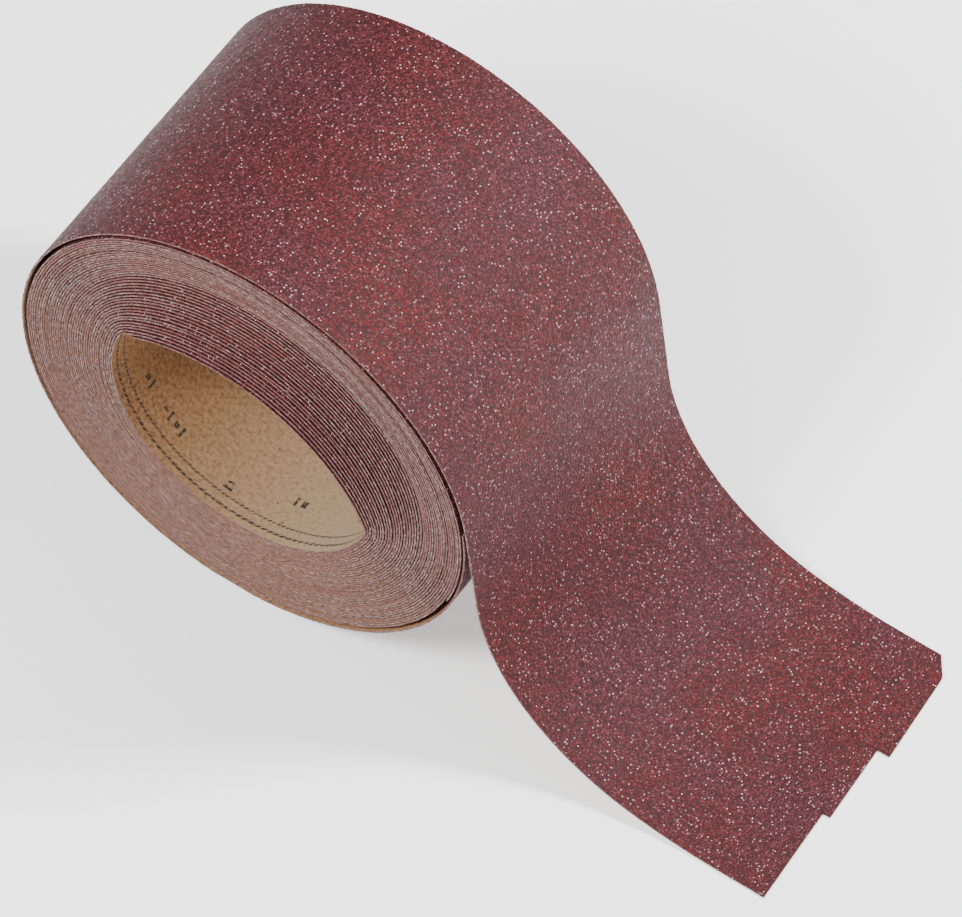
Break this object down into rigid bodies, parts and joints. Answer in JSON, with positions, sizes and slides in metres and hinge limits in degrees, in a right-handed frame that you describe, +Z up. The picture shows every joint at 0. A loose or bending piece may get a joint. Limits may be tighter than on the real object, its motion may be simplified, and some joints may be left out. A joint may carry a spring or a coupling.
{
  "type": "coated abrasive paper roll",
  "caption": "Coreless roll of abrasive paper standing on its rim, wound grit side out, with its cut leader curving off the side and down to the bench.",
  "frame": {"origin": "on the roll's axis, at the middle of the strip's width, in the centre of the spindle hole", "axes": "+Y along the roll's axis, +X the way the leader runs off, +Z up from the bench that the roll stands on"},
  "size_m": [0.3049, 0.115, 0.1764],
  "materials": {
    "backing_paper": "matte",
    "grit_coat": "satin"
  },
  "bodies": {
    "outer_turn": {"outer_turn_paper": "backing_paper", "outer_turn_grit": "grit_coat"},
    "wound_pack": {"core_turns_paper": "backing_paper", "core_turns_grit": "grit_coat", "inner_turns_paper": "backing_paper", "inner_turns_grit": "grit_coat", "middle_turns_paper": "backing_paper", "middle_turns_grit": "grit_coat", "rim_turns_paper": "backing_paper", "rim_turns_grit": "grit_coat"},
    "inner_end": {"inner_end_paper": "backing_paper", "inner_end_grit": "grit_coat"},
    "leader": {"leader_paper": "backing_paper", "leader_grit": "grit_coat"},
    "end_flap": {"end_flap_paper": "backing_paper", "end_flap_grit": "grit_coat"}
  },
  "joints": [
    {"name": "roll_turn", "type": "hinge", "parent": "outer_turn", "child": "wound_pack", "pos_m": [0, 0, 0], "axis": [0, 1, 0], "continuous": true},
    {"name": "inner_end_peel", "type": "hinge", "parent": "wound_pack", "child": "inner_end", "pos_m": [-0.00359, 0, 0.02702], "axis": [0, -1, 0], "range_deg": [0, 35], "stiffness_Nm_per_rad": 0.02, "springref_deg": -17.19},
    {"name": "leader_peel", "type": "hinge", "parent": "outer_turn", "child": "leader", "pos_m": [0.08782, 0, 0.01675], "axis": [0, -1, 0], "range_deg": [0, 60]},
    {"name": "flap_lift", "type": "hinge", "parent": "leader", "child": "end_flap", "pos_m": [0.1343, 0, -0.07382], "axis": [0, -1, 0], "range_deg": [0, 70]}
  ]
}
